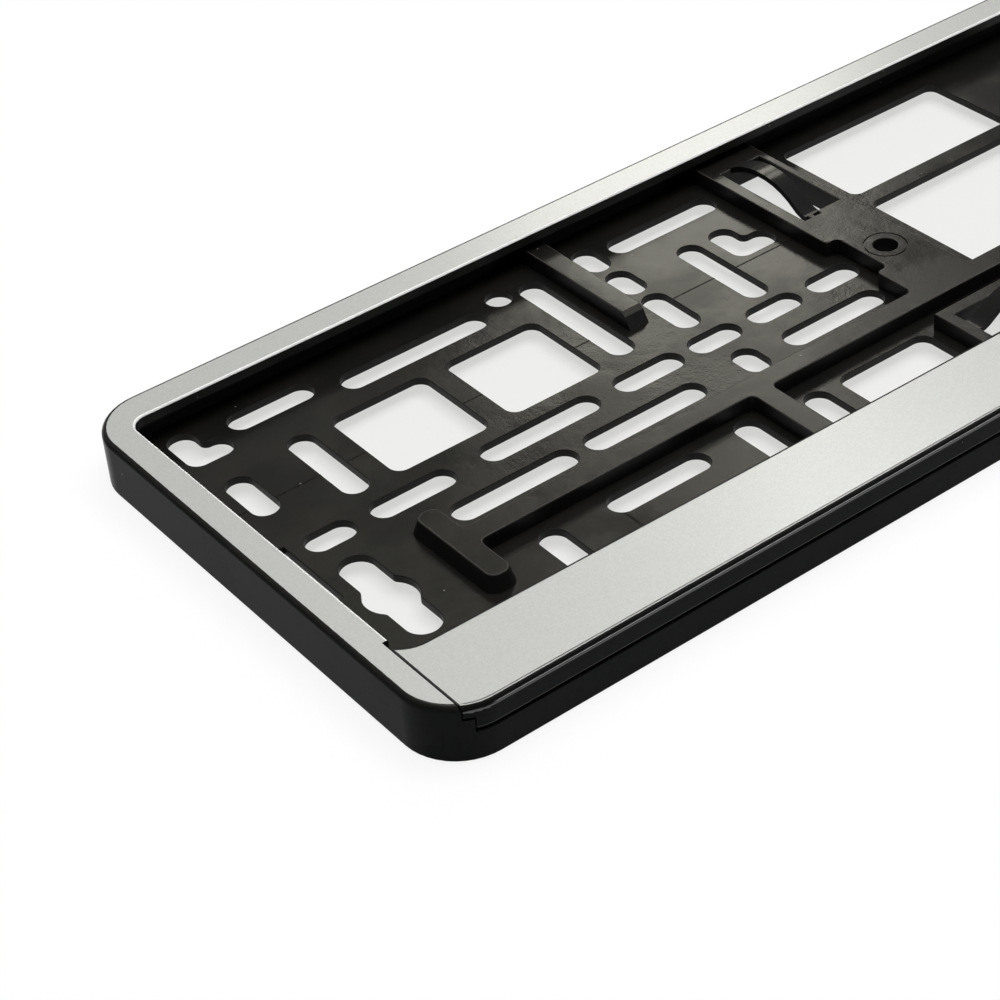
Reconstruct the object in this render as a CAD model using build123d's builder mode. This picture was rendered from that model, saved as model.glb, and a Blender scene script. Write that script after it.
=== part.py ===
"""Number plate holder: a moulded base frame and the strip that snaps over the plate's lower edge.

Millimetres. The holder lies on its back, the way it meets the car: +X runs along the plate,
+Y to the plate's upper edge and +Z out of the face. The origin is under the middle, on the back.
The holder is the same on both sides, so plans draw the left half and mirror it.
"""

import os
from math import sqrt

from build123d import *

# The number plate that the holder carries, and the room round it
plate_length = 520.0
plate_height = 110.0
plate_play = 1.0

# Rim: outer walls, and the lip that reaches over the plate
rim_wall = 4.0
sill_depth = 17.0
frame_height = 13.5
corner_radius = 13.2
rim_round = 1.2
foot_bevel = 0.3
lip_thickness = 2.7
lip_end_reach = 3.6
lip_top_reach = 4.5
lip_corner_radius = 4.0
lip_edge_round = 0.6

# Floor, and the raised bars that the plate lies on
floor_gap = 2.7
floor_thickness = 1.8
seat_height = 4.0
seat_skin = 1.8
bar_width = 5.5
bar_wall = 1.6
bar_bevel = 1.1
nose_run = 3.0

# Clip-on strip and its seat in the base
strip_reach = 20.85
strip_bow = 1.5
strip_thickness = 2.2
strip_skirt_depth = 5.4
strip_skirt_wall = 1.7
strip_front_round = 1.4
strip_edge_bevel = 0.4
strip_end_inset = 6.4
strip_clearance = 0.3
parting_gap = 1.0
horn_height = 3.3
horn_radius = 8.0
horn_gap = 1.8
end_relief_length = 2.2
end_relief_height = 2.9
end_step_height = 3.3
hold_down_width = 1.6
upstand_wall = 1.6
stop_rib_wall = 1.6

# Tongues under the strip, and the sockets that they plug into
tongue_count = 6
tongue_pitch = 92.0
tongue_width = 14.0
tongue_thickness = 2.0
tongue_tip = 0.6
tongue_from_front = 9.5
tongue_foot_gap = 1.2
socket_wall = 1.4
socket_height = 3.5

# Fixing slots in the floor; every span along X runs from the frame's end face
slot_width = 6.7
hole_corner = 3.0
# Level slots near the top: centre from the top face, then the span
top_slots = [(13.8, 29.0, 51.4), (18.2, 56.8, 97.2), (16.2, 137.0, 169.9)]
# Level slots in rows: centre of the row from the front face, then the spans
middle_row_from_front = 71.65
middle_row = [(17.4, 29.6), (34.2, 55.8), (63.6, 95.7), (101.4, 120.2), (123.4, 137.6), (141.2, 156.2),
              (159.8, 174.5)]
lower_row_from_front = 59.35
lower_row = [(46.5, 79.6), (82.8, 116.1), (141.2, 170.8)]
bottom_row_from_front = 39.15
bottom_row = [(72.5, 99.7)]
# Upright slots: centre from the end, lower end from the front face, upper end from the top face
tall_slots = [(37.5, 79.6, 27.0), (112.5, 80.6, 13.7), (150.4, 77.3, 27.0)]
# Short upright slots: centre from the end, upper end from the top face, length; three stand in one column
stacked_column = 130.65
short_slots = [(18.85, 30.5, 16.2), (stacked_column, 11.0, 11.0), (stacked_column, 24.1, 11.1),
               (stacked_column, 37.3, 17.1)]
# Upright slots near the front: centre from the end, both ends from the front face
front_slots = [(57.55, 24.0, 42.5), (112.8, 24.0, 43.8), (131.15, 24.0, 41.2), (stacked_column, 54.6, 64.5)]
# Square holes: the span, with the lower edge from the front face and the upper edge from the top face
square_holes = [(46.5, 72.5), (78.2, 104.5)]
square_low = 79.5
square_high = 27.1
# Rectangular hole in front of the long bar: the span, and both edges from the front face
front_hole_start = 139.0
front_hole_finish = 166.2
front_hole_low = 25.0
front_hole_high = 41.0
round_hole_from_end = 104.4
round_hole_from_top = 14.3
round_hole_diameter = 6.6
# Angled keyholes: outer end, reach along X, lower and upper ends from the top face
keyhole_lobe = 6.8
keyhole_corner = 3.2
keyhole_crook = 1.8
keyholes = [(14.5, 11.9, 22.1, 8.5), (157.2, 13.0, 40.5, 27.0)]
# Waisted screw hole near each front corner, its ends and bulge from the front face
waist_from_end = 21.7
waist_width = 8.3
waist_low = 32.4
waist_high = 63.2
bulge_from_front = 47.5
bulge_radius = 6.1
bulge_blend = 1.5
# Moulding relief under each end lip, its ends from the front face
relief_from_end = 5.2
relief_width = 8.8
relief_low = 53.5
relief_high = 75.2

# Raised bars
long_bar_from_front = 48.05
tee_from_end = 40.2
tee_low = 33.8
tee_high = 60.6
tee_corner = 2.4
tee_flare = 1.1
tee_foot_corner = 1.2
cross_column = 121.0
upper_bar_low = 89.9

# Raised panel on each side of the middle
panel_from_end = 172.0
panel_width = 18.0
panel_notch_depth = 3.5
panel_notch_low = 62.1
panel_notch_high = 78.9
panel_notch_round = 1.2

# Windows of the floor between the two panels, parted by a cross bar and a centre bar
window_from_end = 196.4
window_from_top = 11.65
window_corner = 2.5
cross_bar_from_front = 91.85
cross_bar_width = 5.15
centre_bar_width = 31.1

# Screw bosses of the panels
screw_column = 181.7
screw_from_front = 69.1
screw_hole_diameter = 6.0
screw_boss_diameter = 10.4
screw_ring_diameter = 10.6
screw_ring_width = 0.4
screw_ring_depth = 0.3

# Leaf springs that push the plate up against the lips, and the wells that they work in
leaf_width = 4.4
leaf_thickness = 1.4
leaf_crest_rise = 2.5
leaf_tip_drop = 2.6
leaf_root_drop = 0.9
leaf_tip_gap = 1.8
leaf_curl = 4.0
leaf_curl_rise = 1.4
well_wall = 1.6
upper_well_width = 12.8
upper_well_low = 91.3
upper_well_high = 13.0
upper_leaf_from_end = 180.9
upper_leaf_crest = 20.5
edge_nick_width = 1.9
edge_nick_depth = 1.4
edge_nick_pitch = 3.3
edge_nick_start = 1.1

# Lower bracket, with a leaf lying along X
bracket_from_end = 169.2
bracket_length = 34.0
bracket_from_front = 40.7
bracket_frame = 3.2
bracket_well_low = 26.0
bracket_leaf_from_front = 33.6
bracket_leaf_crest = 7.5

# Sizes that follow from those above
frame_length = plate_length + 2 * (plate_play + rim_wall)
frame_depth = sill_depth + plate_height + 2 * plate_play + rim_wall
floor_top = floor_gap + floor_thickness
seat_top = floor_top + seat_height
lip_underside = frame_height - lip_thickness
strip_underside = frame_height - strip_thickness
skirt_foot = frame_height - strip_skirt_depth
front_wall_top = skirt_foot - parting_gap
rest_top = strip_underside - strip_clearance
strip_edge = frame_length / 2 - strip_end_inset
seat_edge = strip_edge + strip_clearance
strip_end_reach = strip_reach + strip_bow
seat_reach = strip_end_reach + horn_height + horn_gap
upstand_inset = strip_skirt_wall + strip_clearance
trough_inset = upstand_inset + upstand_wall


def from_end(distance: float) -> float:
    """X of a feature, measured in from the frame's left end face."""
    return distance - frame_length / 2


def from_front(distance: float) -> float:
    """Y of a feature, measured back from the frame's front face."""
    return distance - frame_depth / 2


def from_top(distance: float) -> float:
    """Y of a feature, measured forward from the frame's top face."""
    return frame_depth / 2 - distance


def frame_outline(inset: float, mode: Mode = Mode.ADD):
    """The frame's rounded outline, moved in by an inset."""
    RectangleRounded(frame_length - 2 * inset, frame_depth - 2 * inset, corner_radius - inset, mode=mode)


def block(left: float, right: float, low: float, high: float, mode: Mode = Mode.ADD):
    """Rectangle between four edges."""
    with Locations(((left + right) / 2, (low + high) / 2)):
        Rectangle(right - left, high - low, mode=mode)


def rounded_block(left: float, right: float, low: float, high: float, corner: float, mode: Mode = Mode.ADD):
    """Rectangle between four edges, with rounded corners."""
    with Locations(((left + right) / 2, (low + high) / 2)):
        RectangleRounded(right - left, high - low, corner, mode=mode)


def level_slot(start: float, finish: float, centre: float):
    """Slot along X with round ends, its span measured from the frame's end face."""
    with Locations((from_end((start + finish) / 2), centre)):
        SlotOverall(finish - start, slot_width)


def upright_slot(column: float, low: float, high: float, width: float = slot_width):
    """Slot along Y with round ends, its column measured from the frame's end face."""
    with Locations((from_end(column), (low + high) / 2)):
        SlotOverall(high - low, width, rotation=90)


def front_band(edge: float, outer: float, inner: float):
    """Band that follows the frame's outline along the front, between two insets and two ends."""
    frame_outline(outer)
    frame_outline(inner, mode=Mode.SUBTRACT)
    block(-edge, edge, from_front(0), from_front(corner_radius), mode=Mode.INTERSECT)


def raised_plan(inset: float):
    """Bars and panels that carry the plate, with every edge moved in by an inset."""
    half_bar = bar_width / 2 - inset
    bar_low = from_front(long_bar_from_front) - half_bar
    bar_high = from_front(long_bar_from_front) + half_bar
    stop = from_front(sill_depth) + inset
    wall = from_top(rim_wall) - inset
    cross = from_end(cross_column)
    panel = from_end(panel_from_end) + inset
    # Long bar, and the two bars that cross it
    block(from_end(tee_from_end), 0, bar_low, bar_high)
    block(cross - half_bar, cross + half_bar, stop, bar_high)
    block(cross - half_bar, cross + half_bar, from_front(upper_bar_low) + inset, wall)
    # Panel beside the windows, notched beside the screw hole, and the bracket in front of it
    block(panel, from_end(panel_from_end + panel_width) - inset, bar_low, wall)
    block(panel, panel + panel_notch_depth, from_front(panel_notch_low) - inset,
          from_front(panel_notch_high) + inset, mode=Mode.SUBTRACT)
    block(from_end(bracket_from_end) + inset, from_end(bracket_from_end + bracket_length) - inset,
          stop, from_front(bracket_from_front) - inset)
    mirror(about=Plane.YZ)


def tee_plan(margin: float, corner: float):
    """Cross head on the left end of the long bar, grown by a margin."""
    with Locations((from_end(tee_from_end), from_front((tee_low + tee_high) / 2))):
        RectangleRounded(bar_width + 2 * margin, tee_high - tee_low + 2 * margin, corner)


def leaf_line(root: float, crest: float, tip: float):
    """Bow of a leaf spring from its root, over the crest, to a tip that levels out."""
    curl = (tip + leaf_curl, leaf_tip + leaf_curl_rise)
    bow = ThreePointArc((root, leaf_root), (crest, leaf_crest), curl)
    TangentArc(curl, (tip, leaf_tip), tangent=bow % 1)


def tongue_plan(margin: float):
    """Row of tongues along the strip, each grown by a margin."""
    with Locations((0, from_front(tongue_from_front))):
        with GridLocations(tongue_pitch, 0, tongue_count, 1):
            Rectangle(tongue_width + 2 * margin, tongue_thickness + 2 * margin)


# Keyholes: two lobes at right angles, every corner rounded
keyhole_plans = []
for keyhole_start, keyhole_reach, keyhole_low, keyhole_high in keyholes:
    lobe_left = from_end(keyhole_start)
    lobe_foot = from_top(keyhole_low)
    with BuildSketch() as keyhole:
        block(lobe_left, lobe_left + keyhole_lobe, lobe_foot, from_top(keyhole_high))
        block(lobe_left, lobe_left + keyhole_reach, lobe_foot, lobe_foot + keyhole_lobe)
        inner_corner = (lobe_left + keyhole_lobe, lobe_foot + keyhole_lobe)
        fillet(keyhole.vertices().sort_by_distance(inner_corner)[0], keyhole_crook)
        fillet(keyhole.vertices().sort_by_distance(inner_corner)[2:], keyhole_corner)
    keyhole_plans.append(keyhole.sketch)

# Waisted hole: an upright slot with a round bulge at its middle
with BuildSketch() as waist_hole:
    upright_slot(waist_from_end, from_front(waist_low), from_front(waist_high), waist_width)
    with Locations((from_end(waist_from_end), from_front(bulge_from_front))):
        Circle(bulge_radius)
    bulge_corners = waist_hole.vertices().filter_by_position(
        Axis.Y, from_front(bulge_from_front - bulge_radius), from_front(bulge_from_front + bulge_radius))
    fillet(bulge_corners, bulge_blend)

# Every hole of the floor, with the windows from the long bar up
with BuildSketch() as floor_holes:
    for slot_from_top, start, finish in top_slots:
        level_slot(start, finish, from_top(slot_from_top))
    for row_from_front, row in ((middle_row_from_front, middle_row), (lower_row_from_front, lower_row),
                                (bottom_row_from_front, bottom_row)):
        for start, finish in row:
            level_slot(start, finish, from_front(row_from_front))
    for column, low, high in tall_slots:
        upright_slot(column, from_front(low), from_top(high))
    for column, high, length in short_slots:
        upright_slot(column, from_top(high + length), from_top(high))
    for column, low, high in front_slots:
        upright_slot(column, from_front(low), from_front(high))
    for start, finish in square_holes:
        rounded_block(from_end(start), from_end(finish), from_front(square_low), from_top(square_high),
                      hole_corner)
    rounded_block(from_end(front_hole_start), from_end(front_hole_finish), from_front(front_hole_low),
                  from_front(front_hole_high), hole_corner)
    with Locations((from_end(round_hole_from_end), from_top(round_hole_from_top))):
        Circle(round_hole_diameter / 2)
    block(from_end(relief_from_end), from_end(relief_from_end + relief_width), from_front(relief_low),
          from_front(relief_high))
    window_left = from_end(window_from_end)
    window_right = -centre_bar_width / 2
    rounded_block(window_left, window_right, from_front(long_bar_from_front + bar_width / 2),
                  from_front(cross_bar_from_front - cross_bar_width / 2), window_corner)
    rounded_block(window_left, window_right, from_front(cross_bar_from_front + cross_bar_width / 2),
                  from_top(window_from_top), window_corner)
    add(keyhole_plans)
    add(waist_hole.sketch)
    mirror(about=Plane.YZ)

# Spring wells of the left half: left, right, low and high edges
upper_well = (from_end(screw_column) - upper_well_width / 2, from_end(screw_column) + upper_well_width / 2,
              from_front(upper_well_low), from_top(upper_well_high))
bracket_well = (from_end(bracket_from_end + bracket_frame),
                from_end(bracket_from_end + bracket_length - bracket_frame),
                from_front(bracket_well_low), from_front(bracket_from_front - bracket_frame))
wells = (upper_well, bracket_well)

# Holes of the raised panels and brackets: the spring wells and the screw holes
with BuildSketch() as panel_holes:
    for left, right, low, high in wells:
        block(left, right, low, high)
    with Locations((from_end(screw_column), from_front(screw_from_front))):
        Circle(screw_hole_diameter / 2)
    mirror(about=Plane.YZ)

# Cross heads flare out to their foot, and the nose of each upper bar slopes down to the floor
nose_top = from_front(upper_bar_low)
with BuildPart() as bar_ends:
    with BuildSketch(Plane.XY.offset(floor_top)):
        tee_plan(tee_flare, tee_foot_corner)
    with BuildSketch(Plane.XY.offset(seat_top)):
        tee_plan(0, tee_corner)
    loft()
    with BuildSketch(Plane.YZ.offset(from_end(cross_column) - bar_width / 2)):
        with BuildLine():
            Polyline((nose_top, seat_top), (nose_top - bar_bevel, seat_top - bar_bevel),
                     (nose_top - nose_run, floor_top), (nose_top, floor_top), close=True)
        make_face()
    extrude(amount=bar_width)
    mirror(about=Plane.YZ)

# Leaf springs, each fixed at its root and free at its tip
leaf_crest = seat_top + leaf_crest_rise
leaf_tip = seat_top - leaf_tip_drop
leaf_root = seat_top - leaf_root_drop
with BuildPart() as leaf_springs:
    with BuildSketch(Plane.YZ.offset(from_end(upper_leaf_from_end) - leaf_width / 2)):
        with BuildLine():
            leaf_line(upper_well[3] + well_wall / 2, from_top(upper_leaf_crest),
                      upper_well[2] + leaf_tip_gap)
        trace(line_width=leaf_thickness)
    extrude(amount=leaf_width)
    with BuildSketch(Plane.XZ.offset(-from_front(bracket_leaf_from_front) - leaf_width / 2)):
        with BuildLine():
            leaf_line(bracket_well[1] + well_wall / 2, bracket_well[1] - bracket_leaf_crest,
                      bracket_well[0] + leaf_tip_gap)
        trace(line_width=leaf_thickness)
    extrude(amount=leaf_width)
    mirror(about=Plane.YZ)

with BuildPart() as base_frame:
    # Solid slab with a rounded rim and a bevelled foot
    with BuildSketch():
        frame_outline(0)
    extrude(amount=frame_height)
    fillet(base_frame.edges().group_by(Axis.Z)[-1], rim_round)
    chamfer(base_frame.edges().group_by(Axis.Z)[0], foot_bevel)

    # Window in the face, with its edge rounded over
    window_edge = frame_length / 2 - rim_wall - lip_end_reach
    with BuildSketch(Plane.XY.offset(lip_underside)):
        rounded_block(-window_edge, window_edge, from_front(seat_reach - lip_corner_radius),
                      from_top(rim_wall + lip_top_reach), lip_corner_radius)
    extrude(amount=lip_thickness, mode=Mode.SUBTRACT)
    rim_face = base_frame.faces().filter_by(Axis.Z).sort_by(Axis.Z)[-1]
    fillet(rim_face.inner_wires()[0].edges(), lip_edge_round)

    # Space for the plate under the lips, behind its stop
    with BuildSketch(Plane.XY.offset(floor_top)):
        frame_outline(rim_wall)
        block(-frame_length, frame_length, from_front(0), from_front(sill_depth), mode=Mode.SUBTRACT)
    extrude(amount=lip_underside - floor_top, mode=Mode.SUBTRACT)

    # Seat of the strip: the rim is cut away along the front, with a trough behind the front wall
    with BuildSketch(Plane.XY.offset(front_wall_top)):
        block(-seat_edge, seat_edge, from_front(-rim_wall), from_front(seat_reach))
    extrude(amount=frame_height, mode=Mode.SUBTRACT)
    with BuildSketch(Plane.XY.offset(floor_top)):
        frame_outline(trough_inset)
        block(-seat_edge, seat_edge, from_front(0), from_front(sill_depth), mode=Mode.INTERSECT)
    extrude(amount=frame_height, mode=Mode.SUBTRACT)

    # Upstand behind the strip's skirt, the plate's stop, and a small step under each end of the strip
    with BuildSketch(Plane.XY.offset(floor_top)):
        front_band(seat_edge, upstand_inset, trough_inset)
        block(-seat_edge, seat_edge, from_front(sill_depth - stop_rib_wall), from_front(sill_depth))
    extrude(amount=rest_top - floor_top)
    step_start = strip_edge - end_relief_length + strip_clearance
    with BuildSketch(Plane.XY.offset(front_wall_top)):
        front_band(seat_edge, 0, upstand_inset)
        block(-step_start, step_start, from_front(0), from_front(corner_radius), mode=Mode.SUBTRACT)
    extrude(amount=end_step_height)

    # Open back behind the floor
    with BuildSketch():
        frame_outline(rim_wall)
    extrude(amount=floor_gap, mode=Mode.SUBTRACT)

    # Raised bars and panels, hollow from the back, with the notches rounded into the panels' sides
    with BuildSketch(Plane.XY.offset(floor_top)):
        raised_plan(0)
    extrude(amount=seat_height)
    notch_edges = base_frame.edges().filter_by(Axis.Z).filter_by(
        lambda edge: abs(edge.center().X) > -from_end(panel_from_end + panel_notch_depth / 2)
        and abs(edge.center().X) < -from_end(panel_from_end - panel_notch_depth / 2)
        and abs(edge.center().Y - from_front((panel_notch_low + panel_notch_high) / 2))
        < panel_notch_high - panel_notch_low)
    fillet(notch_edges, panel_notch_round)
    add(bar_ends.part)
    with BuildSketch():
        raised_plan(bar_wall)
        tee_plan(-bar_wall, tee_corner - bar_wall)
        mirror(about=Plane.YZ)
    extrude(amount=seat_top - seat_skin, mode=Mode.SUBTRACT)

    # Spring wells, screw bosses and the sockets for the strip's tongues
    with BuildSketch(Plane.XY.offset(floor_gap)):
        for left, right, low, high in wells:
            block(left - well_wall, right + well_wall, low - well_wall, high + well_wall)
        mirror(about=Plane.YZ)
    extrude(amount=seat_top - floor_gap)
    with BuildSketch():
        with Locations((from_end(screw_column), from_front(screw_from_front))):
            Circle(screw_boss_diameter / 2)
        mirror(about=Plane.YZ)
    extrude(amount=seat_top)
    with BuildSketch(Plane.XY.offset(floor_top)):
        tongue_plan(strip_clearance + socket_wall)
    extrude(amount=socket_height)

    # Everything that goes right through
    with BuildSketch():
        add(floor_holes.sketch)
    extrude(amount=floor_top, mode=Mode.SUBTRACT)
    with BuildSketch():
        add(panel_holes.sketch)
        tongue_plan(strip_clearance)
    extrude(amount=frame_height, mode=Mode.SUBTRACT)

    # Ring round each screw hole, and two nicks in the edge below each upper spring
    with BuildSketch(Plane.XY.offset(seat_top - screw_ring_depth)):
        with Locations((from_end(screw_column), from_front(screw_from_front))):
            Circle(screw_ring_diameter / 2)
            Circle(screw_ring_diameter / 2 - screw_ring_width, mode=Mode.SUBTRACT)
        mirror(about=Plane.YZ)
    extrude(amount=screw_ring_depth, mode=Mode.SUBTRACT)
    with BuildSketch(Plane.XY.offset(seat_top - seat_skin)):
        with Locations((upper_well[0] + edge_nick_start + edge_nick_pitch / 2, upper_well[2])):
            with GridLocations(edge_nick_pitch, 0, 2, 1):
                Rectangle(edge_nick_width, 2 * edge_nick_depth)
        mirror(about=Plane.YZ)
    extrude(amount=seat_skin, mode=Mode.SUBTRACT)
    add(leaf_springs.part)

base_frame.part.label = "base_frame"

with BuildPart() as retaining_strip:
    # Cover plate: its inner edge bows a little, and a horn at each end rounds the window's lower corner
    horn_run = sqrt(horn_radius**2 - (horn_radius - horn_height) ** 2)
    horn_foot = strip_edge - horn_run
    horn_top = from_front(strip_end_reach + horn_height)
    with BuildSketch(Plane.XY.offset(strip_underside)):
        frame_outline(0)
        block(-strip_edge, strip_edge, from_front(0), horn_top, mode=Mode.INTERSECT)
        with BuildLine():
            bow = ThreePointArc((-horn_foot, from_front(strip_end_reach)), (0, from_front(strip_reach)),
                                (horn_foot, from_front(strip_end_reach)))
            TangentArc(bow @ 1, (strip_edge, horn_top), tangent=bow % 1)
            Line((strip_edge, horn_top), (-strip_edge, horn_top))
            TangentArc(bow @ 0, (-strip_edge, horn_top), tangent=-(bow % 0))
        make_face(mode=Mode.SUBTRACT)
    extrude(amount=strip_thickness)

    # Front skirt, shortened at both ends
    with BuildSketch(Plane.XY.offset(skirt_foot)):
        front_band(strip_edge, 0, strip_skirt_wall)
    extrude(amount=strip_underside - skirt_foot)
    with BuildSketch(Plane.XY.offset(skirt_foot)):
        front_band(strip_edge, 0, strip_skirt_wall)
        block(-strip_edge + end_relief_length, strip_edge - end_relief_length, from_front(0),
              from_front(corner_radius), mode=Mode.SUBTRACT)
    extrude(amount=end_relief_height, mode=Mode.SUBTRACT)

    # Front edge rounded over, inner edge bevelled
    top_edges = retaining_strip.edges().group_by(Axis.Z)[-1]
    front_edges = top_edges.filter_by(lambda edge: edge.center().Y < from_front(strip_skirt_wall))
    fillet(front_edges, strip_front_round)
    inner_edges = retaining_strip.edges().group_by(Axis.Z)[-1].filter_by(
        lambda edge: edge.center().Y > from_front(strip_reach - strip_edge_bevel))
    chamfer(inner_edges, strip_edge_bevel)

    # Lip that holds the plate's lower edge down
    with BuildSketch(Plane.XY.offset(lip_underside)):
        block(-strip_edge, strip_edge, from_front(strip_reach - hold_down_width), from_front(strip_reach))
    extrude(amount=strip_underside - lip_underside)

    # Tongues with bevelled tips
    with BuildSketch(Plane.XY.offset(tongue_foot_gap)):
        tongue_plan(0)
    extrude(amount=strip_underside - tongue_foot_gap)
    chamfer(retaining_strip.edges().group_by(Axis.Z)[0], tongue_tip)

retaining_strip.part.label = "retaining_strip"

os.makedirs("parts", exist_ok=True)
export_step(base_frame.part, "parts/base_frame.step")
export_step(retaining_strip.part, "parts/retaining_strip.step")
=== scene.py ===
"""Looks of a number plate holder: black moulded plastic with a silver foil face, in a plain white studio.

Everything is in metres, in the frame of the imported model. The holder lies on its back: +X runs along
the plate, +Y to the plate's upper edge and +Z out of the face. The origin is under the middle.
"""

import logging
import math
from collections.abc import Callable, Iterable
from dataclasses import dataclass
from enum import Enum

import bmesh
import bpy
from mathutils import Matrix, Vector


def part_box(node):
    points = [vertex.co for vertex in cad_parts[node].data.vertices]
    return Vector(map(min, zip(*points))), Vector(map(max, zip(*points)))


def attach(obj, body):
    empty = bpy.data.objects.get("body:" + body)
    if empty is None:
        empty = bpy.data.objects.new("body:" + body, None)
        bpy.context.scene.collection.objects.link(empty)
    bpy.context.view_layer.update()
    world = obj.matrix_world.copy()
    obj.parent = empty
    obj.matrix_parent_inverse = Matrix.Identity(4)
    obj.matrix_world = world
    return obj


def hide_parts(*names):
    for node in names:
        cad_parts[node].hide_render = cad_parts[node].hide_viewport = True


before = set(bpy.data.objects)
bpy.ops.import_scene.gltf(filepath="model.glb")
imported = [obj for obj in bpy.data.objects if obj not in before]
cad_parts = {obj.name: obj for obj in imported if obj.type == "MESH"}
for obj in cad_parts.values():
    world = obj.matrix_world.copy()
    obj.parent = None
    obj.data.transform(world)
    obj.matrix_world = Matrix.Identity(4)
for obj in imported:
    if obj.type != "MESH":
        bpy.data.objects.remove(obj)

LOG = logging.getLogger("plate_holder")
MM = 0.001

Socket = bpy.types.NodeSocket
Colour = tuple[float, float, float]
Point = tuple[float, float, float]


class Body(Enum):
    """Bodies that a piece can ride on."""

    BASE = "base"
    STRIP = "strip"


class Slot(Enum):
    """Names of the material slots."""

    BLACK = "black_plastic"
    SILVER = "silver_plastic"


class Tree(Enum):
    """Kinds of node group."""

    SHADER = "ShaderNodeTree"
    GEOMETRY = "GeometryNodeTree"


class Plug(Enum):
    """Kinds of socket on a node group."""

    NUMBER = "NodeSocketFloat"
    COUNT = "NodeSocketInt"
    VECTOR = "NodeSocketVector"
    GEOMETRY = "NodeSocketGeometry"


class Face(Enum):
    """Finishes of a moulding's faces, in the order of its material slots."""

    INSIDE = 0
    OUTSIDE = 1
    FOIL = 2
    SIDE = 3
    # Eased edges: a lighter black, a painted highlight.
    EDGE = 4
    # The lip's inner rounding: pale foil, a painted highlight.
    LIP_HIGHLIGHT = 5


@dataclass(frozen=True)
class Levels:
    """Heights and reaches of the holder that the finishes follow, in metres."""

    floor: float = 4.5 * MM
    seat: float = 8.5 * MM
    top: float = 13.5 * MM
    front_wall: float = 7.1 * MM
    skirt_foot: float = 8.1 * MM
    rim_round: float = 1.2 * MM
    lip_round: float = 0.6 * MM
    corner_radius: float = 13.2 * MM
    strip_round: float = 1.4 * MM
    screw_place: tuple[float, float] = (83.3 * MM, 2.6 * MM)
    screw_ring: float = 5.6 * MM
    screw_hole: float = 3.2 * MM
    strip_end: float = 258.6 * MM
    rim_bare: float = 0.05 * MM
    rim_stamp_shift: float = 0.6 * MM
    strip_bare: float = 1.12 * MM
    strip_end_bare: float = 0.35 * MM


LEVELS = Levels()

# Two places this close count as one.
NEAR = 0.03 * MM

# Upward lean of a face, as its normal's Z: more than LEVEL on a level face, less than STEEP on a wall.
LEVEL = 0.98
STEEP = 0.35

# An edge that turns by more than the first can be rounded; one that turns by less than the second is
# shaded as smooth.
ROUNDED_TURN = math.radians(50)
SMOOTH_TURN = math.radians(38)

# Gap that is closed when a node's triangles are joined, and turn up to which they make one flat face.
MERGE_GAP = 0.002 * MM
FLAT_TURN = math.radians(0.05)

# How much a large face counts in the shading of its corners.
LARGE_FACE_WEIGHT = 90


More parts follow.
